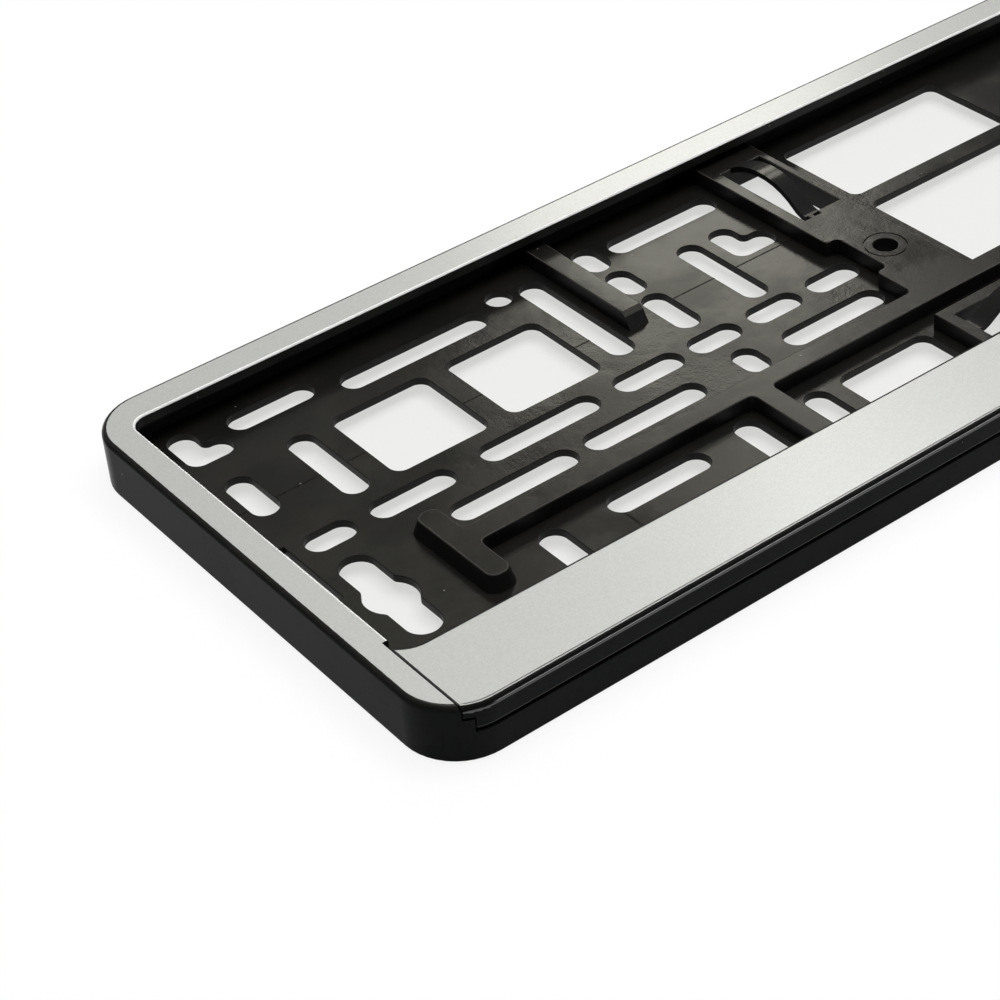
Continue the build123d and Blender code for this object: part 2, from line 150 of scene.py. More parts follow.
class Wiring:
    """Adds nodes to a tree and joins their sockets."""

    def __init__(self, tree: bpy.types.NodeTree) -> None:
        """Keeps the tree that the nodes go into."""
        self.tree = tree

    def node(self, kind: str, **settings: object) -> bpy.types.Node:
        """Adds a node.

        Args:
            kind: Blender's name for the node's type.
            settings: properties of the node, such as its operation.

        Returns:
            The new node.
        """
        node = self.tree.nodes.new(kind)
        for name, value in settings.items():
            setattr(node, name, value)
        return node

    def feed(self, target: Socket, value: Socket | float | tuple) -> None:
        """Joins a socket to an input, or sets the input to a plain value.

        Args:
            target: the input.
            value: the socket or the plain value.
        """
        if isinstance(value, bpy.types.NodeSocket):
            self.tree.links.new(value, target)
        else:
            target.default_value = value

    def math(self, operation: str, first: Socket | float, second: Socket | float = 0.0) -> Socket:
        """Adds a Math node.

        Args:
            operation: the sum to work out.
            first: its first number.
            second: its second number, where it has one.

        Returns:
            The result's socket.
        """
        node = self.node("ShaderNodeMath", operation=operation)
        self.feed(node.inputs[0], first)
        self.feed(node.inputs[1], second)
        return node.outputs[0]

    def ramp(self, value: Socket, low: float, high: float, start: float = 0.0,
             finish: float = 1.0) -> Socket:
        """Maps a value smoothly from one range to another.

        Args:
            value: the value to map.
            low: value up to which the result is start.
            high: value from which the result is finish.
            start: the first result.
            finish: the last result.

        Returns:
            The mapped value's socket.
        """
        node = self.node("ShaderNodeMapRange", interpolation_type="SMOOTHSTEP")
        self.feed(node.inputs["Value"], value)
        numbers = {"From Min": low, "From Max": high, "To Min": start, "To Max": finish}
        for name, number in numbers.items():
            node.inputs[name].default_value = number
        return node.outputs["Result"]

    def blend(self, share: Socket | float, first: Socket | Colour, second: Socket | Colour) -> Socket:
        """Mixes two colours.

        Args:
            share: share of the second colour.
            first: the first colour.
            second: the second colour.

        Returns:
            The mixed colour's socket.
        """
        # The node's two colours are its inputs 6 and 7, and their mix is its output 2.
        node = self.node("ShaderNodeMix", data_type="RGBA")
        self.feed(node.inputs[0], share)
        for target, colour in ((node.inputs[6], first), (node.inputs[7], second)):
            self.feed(target, colour if isinstance(colour, bpy.types.NodeSocket) else (*colour, 1.0))
        return node.outputs[2]

    def noise(self, place: Socket, scale: Socket | float, detail: float = 2.0,
              roughness: float = 0.5) -> Socket:
        """Adds a Noise texture.

        Args:
            place: where it is read.
            scale: patches to a metre.
            detail: how many finer layers it has.
            roughness: how strong the finer layers are.

        Returns:
            The noise value's socket, about 0.5 on average.
        """
        node = self.node("ShaderNodeTexNoise")
        self.feed(node.inputs["Vector"], place)
        self.feed(node.inputs["Scale"], scale)
        node.inputs["Detail"].default_value = detail
        node.inputs["Roughness"].default_value = roughness
        return node.outputs["Fac"]

    def cells(self, place: Socket, scale: Socket | float) -> tuple[Socket, list[Socket]]:
        """Adds a Voronoi texture.

        Args:
            place: where it is read.
            scale: cells to a metre.

        Returns:
            The sockets of the distance to a cell's middle and of the cell's random numbers.
        """
        node = self.node("ShaderNodeTexVoronoi")
        self.feed(node.inputs["Vector"], place)
        self.feed(node.inputs["Scale"], scale)
        split = self.node("ShaderNodeSeparateColor")
        self.feed(split.inputs[0], node.outputs["Color"])
        return node.outputs["Distance"], list(split.outputs)

    def group(self, tree: bpy.types.NodeTree, **values: Socket | float | Colour) -> bpy.types.Node:
        """Places a node group.

        Args:
            tree: the group.
            values: what its inputs get, with _ for a space in a name.

        Returns:
            The group's node.
        """
        node = self.node("ShaderNodeGroup")
        node.node_tree = tree
        for name, value in values.items():
            self.feed(node.inputs[name.replace("_", " ")], value)
        return node


def node_group(name: str, kind: Tree, inputs: dict[str, Plug],
               outputs: dict[str, Plug]) -> tuple[Wiring, Callable[[str], Socket], Callable[[str], Socket]]:
    """Starts a node group.

    Args:
        name: the group's name.
        kind: what the group works on.
        inputs: its inputs' names and kinds.
        outputs: its outputs' names and kinds.

    Returns:
        The group's wiring, and two functions that give an input's and an output's socket by name.
    """
    tree = bpy.data.node_groups.new(name, kind.value)
    for label, plug in inputs.items():
        tree.interface.new_socket(label, in_out="INPUT", socket_type=plug.value)
    for label, plug in outputs.items():
        tree.interface.new_socket(label, in_out="OUTPUT", socket_type=plug.value)
    wiring = Wiring(tree)
    entry = wiring.node("NodeGroupInput")
    exit_ = wiring.node("NodeGroupOutput")
    return wiring, entry.outputs.__getitem__, exit_.inputs.__getitem__


class Effects:
    """Shader node groups that several finishes share, each built once."""

    MOTTLE_SPAN: tuple[float, float] = (0.3, 0.7)
    TINT_SHIFT: Point = (0.37, 0.11, 0.23)
    BARE_SHARE: float = 0.82

    def __init__(self) -> None:
        """Builds every group."""
        self.outline = self._outline()
        self.mottle = self._mottle()
        self.grain = self._grain()
        self.dust = self._dust()

    @staticmethod
    def _outline() -> bpy.types.NodeTree:
        """Distance inside a rounded rectangle round the origin, in plan.

        Returns:
            The group.
        """
        wiring, entry, exit_ = node_group(
            "rounded_outline", Tree.SHADER,
            {"Position": Plug.VECTOR, "Half Length": Plug.NUMBER, "Half Depth": Plug.NUMBER,
             "Corner Radius": Plug.NUMBER},
            {"Inset": Plug.NUMBER})
        split = wiring.node("ShaderNodeSeparateXYZ")
        wiring.feed(split.inputs[0], entry("Position"))
        past = []
        for axis, half in (("X", "Half Length"), ("Y", "Half Depth")):
            straight = wiring.math("SUBTRACT", entry(half), entry("Corner Radius"))
            past.append(wiring.math("SUBTRACT", wiring.math("ABSOLUTE", split.outputs[axis]), straight))
        squares = [wiring.math("POWER", wiring.math("MAXIMUM", side, 0.0), 2.0) for side in past]
        outside = wiring.math("SQRT", wiring.math("ADD", *squares))
        inside = wiring.math("MINIMUM", wiring.math("MAXIMUM", *past), 0.0)
        distance = wiring.math("SUBTRACT", wiring.math("ADD", outside, inside), entry("Corner Radius"))
        wiring.feed(exit_("Inset"), wiring.math("MULTIPLY", distance, -1.0))
        return wiring.tree

    def _mottle(self) -> bpy.types.NodeTree:
        """Cloudy flow marks that a moulding keeps as the plastic sets.

        Returns:
            The group.
        """
        wiring, entry, exit_ = node_group(
            "flow_mottle", Tree.SHADER, {"Position": Plug.VECTOR, "Patches": Plug.NUMBER},
            {"Tone": Plug.NUMBER, "Tint": Plug.NUMBER})
        broad = wiring.noise(entry("Position"), entry("Patches"), detail=3.0, roughness=0.55)
        wiring.feed(exit_("Tone"), wiring.ramp(broad, *self.MOTTLE_SPAN))
        shift = wiring.node("ShaderNodeVectorMath", operation="ADD")
        wiring.feed(shift.inputs[0], entry("Position"))
        shift.inputs[1].default_value = self.TINT_SHIFT
        other = wiring.noise(shift.outputs[0], entry("Patches"))
        wiring.feed(exit_("Tint"), wiring.ramp(other, *self.MOTTLE_SPAN))
        return wiring.tree

    @staticmethod
    def _grain() -> bpy.types.NodeTree:
        """Fine even grain, of mould texture or of metal flake.

        Returns:
            The group.
        """
        wiring, entry, exit_ = node_group(
            "fine_grain", Tree.SHADER, {"Position": Plug.VECTOR, "Grains": Plug.NUMBER},
            {"Height": Plug.NUMBER, "Tone": Plug.NUMBER})
        wiring.feed(exit_("Height"), wiring.noise(entry("Position"), entry("Grains"), roughness=0.6))
        _, chances = wiring.cells(entry("Position"), entry("Grains"))
        wiring.feed(exit_("Tone"), chances[0])
        return wiring.tree

    def _dust(self) -> bpy.types.NodeTree:
        """Sparse pale specks.

        Returns:
            The group.
        """
        wiring, entry, exit_ = node_group(
            "dust", Tree.SHADER,
            {"Position": Plug.VECTOR, "Specks": Plug.NUMBER, "Speck Size": Plug.NUMBER},
            {"Mask": Plug.NUMBER})
        distance, chances = wiring.cells(entry("Position"), entry("Specks"))
        rare = wiring.math("GREATER_THAN", chances[1], self.BARE_SHARE)
        near = wiring.math("LESS_THAN", distance, entry("Speck Size"))
        wiring.feed(exit_("Mask"), wiring.math("MULTIPLY", rare, near))
        return wiring.tree


def new_material(name: str) -> tuple[bpy.types.Material, Wiring, bpy.types.Node, Socket]:
    """Starts a material with a Principled shader.

    Args:
        name: the material's name.

    Returns:
        The material, its wiring, the shader, and the socket of the piece's own coordinates.
    """
    material = bpy.data.materials.new(name)
    material.use_nodes = True
    wiring = Wiring(material.node_tree)
    shader = material.node_tree.nodes["Principled BSDF"]
    place = wiring.node("ShaderNodeTexCoord").outputs["Object"]
    return material, wiring, shader, place


def add_bump(wiring: Wiring, shader: bpy.types.Node, height: Socket, depth: float) -> None:
    """Feeds a height to a shader's normal.

    Args:
        wiring: the material's wiring.
        shader: the shader that takes the normal.
        height: the height, between 0 and 1.
        depth: how deep a height of 1 is, in metres.
    """
    bump = wiring.node("ShaderNodeBump")
    bump.inputs["Distance"].default_value = depth
    wiring.feed(bump.inputs["Height"], height)
    wiring.feed(shader.inputs["Normal"], bump.outputs[0])


@dataclass(frozen=True)
class BlackPlastic:
    """Black moulded plastic, smooth or with a fine mould texture."""

    name: str
    colour: Colour
    warm_colour: Colour
    gloss_low: float
    gloss_high: float
    specular: float
    patches: float
    grains: float
    grain_depth: float
    wave_depth: float = 0.0
    sheen_tint: Colour = (1.0, 1.0, 1.0)
    dust_colour: Colour = (0.16, 0.15, 0.14)
    specks: float = 240.0
    speck_size: float = 0.05

    def material(self, effects: Effects) -> bpy.types.Material:
        """Makes the material.

        Args:
            effects: the shared node groups.

        Returns:
            The material.
        """
        material, wiring, shader, place = new_material(self.name)
        mottle = wiring.group(effects.mottle, Position=place, Patches=self.patches)
        grain = wiring.group(effects.grain, Position=place, Grains=self.grains)
        dust = wiring.group(effects.dust, Position=place, Specks=self.specks, Speck_Size=self.speck_size)
        tone = wiring.blend(mottle.outputs["Tint"], self.colour, self.warm_colour)
        wiring.feed(shader.inputs["Base Color"],
                    wiring.blend(dust.outputs["Mask"], tone, self.dust_colour))
        wiring.feed(shader.inputs["Roughness"],
                    wiring.ramp(mottle.outputs["Tone"], 0.0, 1.0, self.gloss_low, self.gloss_high))
        shader.inputs["Specular IOR Level"].default_value = self.specular
        shader.inputs["Specular Tint"].default_value = (*self.sheen_tint, 1.0)
        waves = wiring.math("MULTIPLY", mottle.outputs["Tone"], self.wave_depth / self.grain_depth)
        add_bump(wiring, shader, wiring.math("ADD", grain.outputs["Height"], waves), self.grain_depth)
        return material


@dataclass(frozen=True)
class SilverFoil:
    """Silver foil stamped on black plastic, inside a rounded outline."""

    name: str
    half_length: float
    half_depth: float
    corner_radius: float
    margin: float
    end: float
    offset: float = 0.0
    colour: Colour = (0.535, 0.541, 0.515)
    pale_colour: Colour = (0.605, 0.611, 0.585)
    bare_colour: Colour = (0.004, 0.004, 0.004)
    metal: float = 0.27
    roughness: float = 0.27
    bare_roughness: float = 0.13
    lacquer: float = 0.85
    lacquer_roughness: float = 0.16
    flakes: float = 4200.0
    flake_depth: float = 0.004 * MM
    edge_waves: float = 900.0
    edge_wave_height: float = 0.12 * MM
    edge_blur: float = 0.05 * MM

    def material(self, effects: Effects) -> bpy.types.Material:
        """Makes the material.

        Args:
            effects: the shared node groups.

        Returns:
            The material.
        """
        material, wiring, shader, place = new_material(self.name)
        stamp = wiring.node("ShaderNodeVectorMath", operation="SUBTRACT")
        wiring.feed(stamp.inputs[0], place)
        stamp.inputs[1].default_value = (0.0, self.offset, 0.0)
        outline = wiring.group(effects.outline, Position=stamp.outputs[0], Half_Length=self.half_length,
                               Half_Depth=self.half_depth, Corner_Radius=self.corner_radius)
        split = wiring.node("ShaderNodeSeparateXYZ")
        wiring.feed(split.inputs[0], place)
        from_end = wiring.math("SUBTRACT", self.end, wiring.math("ABSOLUTE", split.outputs["X"]))
        from_side = wiring.math("SUBTRACT", outline.outputs["Inset"], self.margin)
        wave = wiring.math("SUBTRACT", wiring.noise(place, self.edge_waves), 0.5)
        reach = wiring.math("ADD", wiring.math("MINIMUM", from_side, from_end),
                            wiring.math("MULTIPLY", wave, self.edge_wave_height))
        foil = wiring.ramp(reach, -self.edge_blur, self.edge_blur)
        flake = wiring.group(effects.grain, Position=place, Grains=self.flakes)
        silver = wiring.blend(flake.outputs["Tone"], self.colour, self.pale_colour)
        wiring.feed(shader.inputs["Base Color"], wiring.blend(foil, self.bare_colour, silver))
        wiring.feed(shader.inputs["Metallic"], wiring.math("MULTIPLY", foil, self.metal))
        wiring.feed(shader.inputs["Roughness"],
                    wiring.ramp(foil, 0.0, 1.0, self.bare_roughness, self.roughness))
        shader.inputs["Coat Weight"].default_value = self.lacquer
        shader.inputs["Coat Roughness"].default_value = self.lacquer_roughness
        add_bump(wiring, shader, flake.outputs["Height"], self.flake_depth)
        return material


@dataclass(frozen=True)
class Ease:
    """One set of edges that a moulding has rounded: ridges, or hollow corners."""

    width: float
    chosen: Callable[[bmesh.types.BMEdge], bool]
    segments: int = 2
    hollow: bool = False


def level_edge(edge: bmesh.types.BMEdge, height: float) -> bool:
    """Whether both ends of an edge lie at one height."""
    return all(abs(end.co.z - height) < NEAR for end in edge.verts)


def sharp_edge(edge: bmesh.types.BMEdge, hollow: bool) -> bool:
    """Whether an edge is a sharp ridge, or a sharp hollow corner, between two faces."""
    between = len(edge.link_faces) == 2
    return between and edge.is_convex != hollow and edge.calc_face_angle() > ROUNDED_TURN


def merged_mesh(node: bpy.types.Object) -> bmesh.types.BMesh:
    """Copies a node's loose triangles into one closed mesh with whole flat faces.

    Args:
        node: the CAD node.

    Returns:
        The mesh, which the caller frees.
    """
    loose = bpy.data.meshes.new("loose")
    loose.from_pydata([tuple(corner.co) for corner in node.data.vertices], [],
                      [tuple(face.vertices) for face in node.data.polygons])
    mesh = bmesh.new()
    mesh.from_mesh(loose)
    bpy.data.meshes.remove(loose)
    bmesh.ops.remove_doubles(mesh, verts=mesh.verts, dist=MERGE_GAP)
    bmesh.ops.dissolve_limit(mesh, angle_limit=FLAT_TURN, verts=mesh.verts, edges=mesh.edges)
    return mesh


def ease_edges(mesh: bmesh.types.BMesh, eases: Iterable[Ease]) -> None:
    """Rounds over sets of sharp edges, one set after the other.

    Args:
        mesh: the mesh to change.
        eases: the sets of edges.
    """
    for ease in eases:
        edges = [edge for edge in mesh.edges if sharp_edge(edge, ease.hollow) and ease.chosen(edge)]
        bmesh.ops.bevel(mesh, geom=edges, offset=ease.width, offset_type="OFFSET", segments=ease.segments,
                        profile=0.5, affect="EDGES", clamp_overlap=False)


def finished_piece(name: str, mesh: bmesh.types.BMesh, finish: Callable[[bmesh.types.BMFace], Face],
                   materials: list[bpy.types.Material]) -> bpy.types.Object:
    """Turns a mesh into a piece with its finishes and soft shading.

    Args:
        name: the piece's name.
        mesh: its mesh, which is freed.
        finish: says which finish a face has.
        materials: the finishes, in the order of Face.

    Returns:
        The piece.
    """
    mesh.normal_update()
    for face in mesh.faces:
        face.smooth = True
        face.material_index = finish(face).value
    for edge in mesh.edges:
        edge.smooth = len(edge.link_faces) == 2 and edge.calc_face_angle() < SMOOTH_TURN
    data = bpy.data.meshes.new(name)
    mesh.to_mesh(data)
    mesh.free()
    for material in materials:
        data.materials.append(material)
    piece = bpy.data.objects.new(name, data)
    bpy.context.scene.collection.objects.link(piece)
    weigh = piece.modifiers.new("flat_faces", "WEIGHTED_NORMAL")
    weigh.keep_sharp = True
    weigh.weight = LARGE_FACE_WEIGHT
    bake(piece)
    return piece


def bake(piece: bpy.types.Object) -> None:
    """Turns a piece's modifiers into a plain mesh.

    Args:
        piece: the piece.
    """
    graph = bpy.context.evaluated_depsgraph_get()
    plain = bpy.data.meshes.new_from_object(piece.evaluated_get(graph), preserve_all_data_layers=True,
                                            depsgraph=graph)
    plain.name = piece.name
    piece.modifiers.clear()
    piece.data = plain


@dataclass
class Moulding:
    """A moulding that replaces a CAD node, inside the holder's rounded outline."""

    node: bpy.types.Object
    half_length: float
    half_depth: float

    def inset(self, place: Vector) -> float:
        """Distance of a point inside the holder's outline.

        Args:
            place: the point.

        Returns:
            The distance.
        """
        radius = LEVELS.corner_radius
        past_x = abs(place.x) - self.half_length + radius
        past_y = abs(place.y) - self.half_depth + radius
        return radius - math.hypot(max(past_x, 0.0), max(past_y, 0.0)) - min(max(past_x, past_y), 0.0)

    def face_inset(self, face: bmesh.types.BMFace) -> float:
        """Distance of a face's innermost corner inside the holder's outline."""
        return max(self.inset(corner.co) for corner in face.verts)


@dataclass
class BaseMoulding(Moulding):
    """The base: walls, rim, slotted floor, raised bars, panel and leaf springs."""

    seat_ease: float = 0.28 * MM
    hole_ease: float = 0.2 * MM
    wall_ease: float = 0.25 * MM
    corner_fillet: float = 1.6 * MM
    corner_steps: int = 5
    corner_span: tuple[float, float] = (-45.0 * MM, 60.0 * MM)
    foot_middle: tuple[float, float] = (224.8 * MM, -19.3 * MM)
    foot_half: tuple[float, float] = (3.85 * MM, 14.5 * MM)
    foot_corner: float = 1.2 * MM
    foot_round: float = 2.9 * MM
    nose_place: float = 144.0 * MM
    nose_reach: float = 3.0 * MM
    nose_facet: float = 1.1 * MM
    lip_lean: float = 0.3
    rim_lean: float = 0.6

    def beside_ring(self, place: Vector) -> bool:
        """Whether a point is on the sunk ring round a screw hole."""
        away = math.hypot(abs(place.x) - LEVELS.screw_place[0], place.y - LEVELS.screw_place[1])
        return LEVELS.screw_hole < away < LEVELS.screw_ring

    def on_seat(self, edge: bmesh.types.BMEdge) -> bool:
        """Whether an edge rounds the top of a bar or of the panel."""
        return level_edge(edge, LEVELS.seat) and not self.beside_ring(edge.verts[0].co)

    def on_floor(self, edge: bmesh.types.BMEdge) -> bool:
        """Whether an edge is the upper edge of a hole in the floor."""
        return level_edge(edge, LEVELS.floor)

    def on_front_wall(self, edge: bmesh.types.BMEdge) -> bool:
        """Whether an edge is the upper edge of the front wall."""
        return level_edge(edge, LEVELS.front_wall) and self.inset(edge.verts[0].co) < NEAR

    def in_corner(self, edge: bmesh.types.BMEdge) -> bool:
        """Whether an edge stands on the floor in a corner between two bars, or a bar and the panel.

        Args:
            edge: the edge.

        Returns:
            True if it does.
        """
        low, high = sorted(end.co.z for end in edge.verts)
        upright = abs(low - LEVELS.floor) < NEAR and abs(high - LEVELS.seat) < NEAR
        return upright and self.corner_span[0] < edge.verts[0].co.y < self.corner_span[1]

    def round_feet(self, mesh: bmesh.types.BMesh) -> None:
        """Widens the corner curves at the foot of the cross heads.

        Args:
            mesh: the base's mesh.
        """
        for corner in mesh.verts:
            if abs(corner.co.z - LEVELS.floor) > NEAR:
                continue
            away = (abs(corner.co.x) - self.foot_middle[0], corner.co.y - self.foot_middle[1])
            past = [abs(gap) - half + self.foot_corner for gap, half in zip(away, self.foot_half)]
            if min(past) < -NEAR or math.hypot(*past) > self.foot_corner + NEAR:
                continue
            bearing = math.atan2(past[1], past[0])
            turned = (math.cos(bearing), math.sin(bearing))
            moved = [math.copysign(half - self.foot_round + self.foot_round * part, gap)
                     for gap, half, part in zip(away, self.foot_half, turned)]
            corner.co.x = math.copysign(self.foot_middle[0] + moved[0], corner.co.x)
            corner.co.y = self.foot_middle[1] + moved[1]

    def finish(self, face: bmesh.types.BMFace) -> Face:
        """Says which finish a face has.

        Args:
            face: the face.

        Returns:
            The finish.
        """
        middle = face.calc_center_median()
        lean = face.normal.z
        inset = self.face_inset(face)
        rim = LEVELS.rim_round + NEAR
        if middle.z > LEVELS.top - LEVELS.lip_round and inset > rim and lean > self.lip_lean:
            # The lip's rounding below the level foil takes the pale foil, a painted highlight along the
            # inner edge.
            return Face.FOIL if lean > LEVEL else Face.LIP_HIGHLIGHT
        if inset < rim:
            shoulder = middle.z > LEVELS.front_wall + NEAR and lean > self.rim_lean
            return Face.INSIDE if shoulder else Face.OUTSIDE
        heights = [corner.co.z - LEVELS.seat for corner in face.verts]
        on_nose = abs(abs(middle.x) - self.nose_place) < self.nose_reach
        depth = NEAR + (self.nose_facet if on_nose else self.seat_ease)
        # Eased seat edges and nose facets take the lighter black, a painted highlight.
        if min(heights) > -depth and max(heights) < NEAR and STEEP < lean < LEVEL:
            return Face.EDGE
        return Face.SIDE if abs(lean) < LEVEL else Face.INSIDE

    def build(self, materials: list[bpy.types.Material]) -> bpy.types.Object:
        """Makes the dressed base.

        Args:
            materials: its finishes, in the order of Face.

        Returns:
            The piece.
        """
        mesh = merged_mesh(self.node)
        self.round_feet(mesh)
        ease_edges(mesh, (Ease(self.corner_fillet, self.in_corner, self.corner_steps, hollow=True),
                          Ease(self.seat_ease, self.on_seat), Ease(self.hole_ease, self.on_floor),
                          Ease(self.wall_ease, self.on_front_wall)))
        piece = finished_piece("base_moulding", mesh, self.finish, materials)
        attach(piece, Body.BASE.value)
        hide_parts(self.node.name)
        return piece


def dress(wiring: Wiring, geometry: Socket, target: Socket, material: bpy.types.Material) -> None:
    """Ends a geometry tree: its instances become real and take a finish.

    Args:
        wiring: the tree's wiring.
        geometry: what the tree has made.
        target: the tree's output.
        material: the finish.
    """
    real = wiring.node("GeometryNodeRealizeInstances")
    wiring.feed(real.inputs[0], geometry)
    paint = wiring.node("GeometryNodeSetMaterial")
    wiring.feed(paint.inputs["Geometry"], real.outputs[0])
    paint.inputs["Material"].default_value = material
    wiring.feed(target, paint.outputs[0])


def run_tree(piece: bpy.types.Object, tree: bpy.types.NodeTree, values: dict[str, float]) -> None:
    """Runs a geometry tree on a piece and keeps the result as a plain mesh.

    Args:
        piece: the piece, which holds the tree's input.
        tree: the tree.
        values: what its inputs get, by name.
    """
    modifier = piece.modifiers.new(tree.name, "NODES")
    modifier.node_group = tree
    for item in tree.interface.items_tree:
        if item.item_type == "SOCKET" and item.in_out == "INPUT" and item.name in values:
            modifier[item.identifier] = values[item.name]
    bake(piece)


def plain_object(name: str, corners: list[Point], edges: list[tuple[int, int]],
                 faces: list[tuple[int, ...]]) -> bpy.types.Object:
    """Makes an object from corners, edges and faces.

    Args:
        name: the object's name.
        corners: its corners.
        edges: pairs of corners.
        faces: rings of corners.

    Returns:
        The object.
    """
    data = bpy.data.meshes.new(name)
    data.from_pydata(corners, edges, faces)
    made = bpy.data.objects.new(name, data)
    bpy.context.scene.collection.objects.link(made)
    return made


@dataclass
class MouldLines:
    """Fine ridges that the joints of the mould left on the floor, swept along their paths."""

    level: float = LEVELS.floor
    row: float = 24.0 * MM
    # Spans are in millimetres.
    row_spans: tuple[tuple[float, float], ...] = (
        (-260.5, -249.6), (-242.7, -230.9), (-224.1, -218.6), (-192.4, -186.9), (-160.4, -155.9),
        (-131.0, -118.0), (-111.2, -93.1))
    column: float = -191.0 * MM
    column_span: tuple[float, float] = (-44.0, -30.8)
    ridge_width: float = 0.5 * MM
    ridge_height: float = 0.04 * MM
    ridge_sides: int = 4

    def paths(self) -> list[tuple[Point, Point]]:
        """Lists the lines on both halves of the floor.

        Returns:
            Both ends of each line.
        """
        left = [((start * MM, self.row, self.level), (finish * MM, self.row, self.level))
                for start, finish in self.row_spans]
        low, high = self.column_span
        left.append(((self.column, low * MM, self.level), (self.column, high * MM, self.level)))
        right = [tuple((-x, y, z) for x, y, z in path) for path in left]
        return left + right

    def tree(self, material: bpy.types.Material) -> bpy.types.NodeTree:
        """Builds the tree that sweeps a low ridge along every edge.

        Args:
            material: the ridge's finish.

        Returns:
            The tree.
        """
        wiring, entry, exit_ = node_group(
            "swept_ridge", Tree.GEOMETRY,
            {"Geometry": Plug.GEOMETRY, "Ridge Width": Plug.NUMBER, "Ridge Height": Plug.NUMBER},
            {"Geometry": Plug.GEOMETRY})
        lines = wiring.node("GeometryNodeMeshToCurve")
        wiring.feed(lines.inputs["Mesh"], entry("Geometry"))
        upright = wiring.node("GeometryNodeSetCurveNormal", mode="Z_UP")
        wiring.feed(upright.inputs["Curve"], lines.outputs[0])
        section = wiring.node("GeometryNodeCurvePrimitiveCircle", mode="RADIUS")
        section.inputs["Resolution"].default_value = self.ridge_sides
        section.inputs["Radius"].default_value = 1.0
        size = wiring.node("ShaderNodeCombineXYZ")
        wiring.feed(size.inputs["X"], wiring.math("MULTIPLY", entry("Ridge Width"), 0.5))
        wiring.feed(size.inputs["Y"], entry("Ridge Height"))
        size.inputs["Z"].default_value = 1.0
        flat = wiring.node("GeometryNodeTransform")
        wiring.feed(flat.inputs["Geometry"], section.outputs[0])
        wiring.feed(flat.inputs["Scale"], size.outputs[0])
        sweep = wiring.node("GeometryNodeCurveToMesh")
        wiring.feed(sweep.inputs["Curve"], upright.outputs[0])
        wiring.feed(sweep.inputs["Profile Curve"], flat.outputs[0])
        sweep.inputs["Fill Caps"].default_value = True
        dress(wiring, sweep.outputs[0], exit_("Geometry"), material)
        return wiring.tree

    def build(self, material: bpy.types.Material) -> bpy.types.Object:
        """Makes the ridges.

        Args:
            material: their finish.

        Returns:
            The piece.
        """
        paths = self.paths()
        corners = [end for path in paths for end in path]
        edges = [(2 * place, 2 * place + 1) for place in range(len(paths))]
        piece = plain_object("mould_lines", corners, edges, [])
        run_tree(piece, self.tree(material),
                 {"Ridge Width": self.ridge_width, "Ridge Height": self.ridge_height})
        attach(piece, Body.BASE.value)
        return piece


@dataclass
class FloorCrumbs:
    """Crumbs of plastic that the mould left scattered on the floor."""

    base: bpy.types.Object
    density: float = 2600.0
    crumb_size: float = 0.13 * MM
    least_shape: Point = (0.5, 0.4, 0.25)
    most_shape: Point = (1.7, 1.1, 0.6)
    seed: int = 7

    def ground(self) -> bpy.types.Object:
        """Copies the floor's faces, for the crumbs to lie on.

        Returns:
            An object that holds the faces.
        """
        mesh = self.base.data
        faces = [tuple(face.vertices) for face in mesh.polygons
                 if face.normal.z > LEVEL and abs(face.center.z - LEVELS.floor) < NEAR]
        return plain_object("floor_crumbs", [tuple(corner.co) for corner in mesh.vertices], [], faces)

    def tree(self, material: bpy.types.Material) -> bpy.types.NodeTree:
        """Builds the tree that scatters uneven crumbs over every face.

        Args:
            material: the crumbs' finish.

        Returns:
            The tree.
        """
        wiring, entry, exit_ = node_group(
            "scattered_crumbs", Tree.GEOMETRY,
            {"Geometry": Plug.GEOMETRY, "Density": Plug.NUMBER, "Crumb Size": Plug.NUMBER,
             "Seed": Plug.COUNT},
            {"Geometry": Plug.GEOMETRY})
        places = wiring.node("GeometryNodeDistributePointsOnFaces", distribute_method="RANDOM")
        wiring.feed(places.inputs["Mesh"], entry("Geometry"))
        wiring.feed(places.inputs["Density"], entry("Density"))
        wiring.feed(places.inputs["Seed"], entry("Seed"))
        crumb = wiring.node("GeometryNodeMeshIcoSphere")
        crumb.inputs["Radius"].default_value = 1.0
        crumb.inputs["Subdivisions"].default_value = 1
        shape = wiring.node("FunctionNodeRandomValue", data_type="FLOAT_VECTOR")
        shape.inputs["Min"].default_value = self.least_shape
        shape.inputs["Max"].default_value = self.most_shape
        wiring.feed(shape.inputs["Seed"], entry("Seed"))
        scale = wiring.node("ShaderNodeVectorMath", operation="SCALE")
        wiring.feed(scale.inputs[0], shape.outputs["Value"])
        wiring.feed(scale.inputs["Scale"], entry("Crumb Size"))
        turn = wiring.node("FunctionNodeRandomValue", data_type="FLOAT_VECTOR")
        turn.inputs["Min"].default_value = (0.0, 0.0, 0.0)
        turn.inputs["Max"].default_value = (0.0, 0.0, math.tau)
        wiring.feed(turn.inputs["Seed"], entry("Seed"))
        scatter = wiring.node("GeometryNodeInstanceOnPoints")
        wiring.feed(scatter.inputs["Points"], places.outputs["Points"])
        wiring.feed(scatter.inputs["Instance"], crumb.outputs["Mesh"])
        wiring.feed(scatter.inputs["Rotation"], turn.outputs["Value"])
        wiring.feed(scatter.inputs["Scale"], scale.outputs[0])
        dress(wiring, scatter.outputs[0], exit_("Geometry"), material)
        return wiring.tree

    def build(self, material: bpy.types.Material) -> bpy.types.Object:
        """Makes the crumbs.

        Args:
            material: their finish.

        Returns:
            The piece.
        """
        piece = self.ground()
        run_tree(piece, self.tree(material),
                 {"Density": self.density, "Crumb Size": self.crumb_size, "Seed": self.seed})
        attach(piece, Body.BASE.value)
        return piece


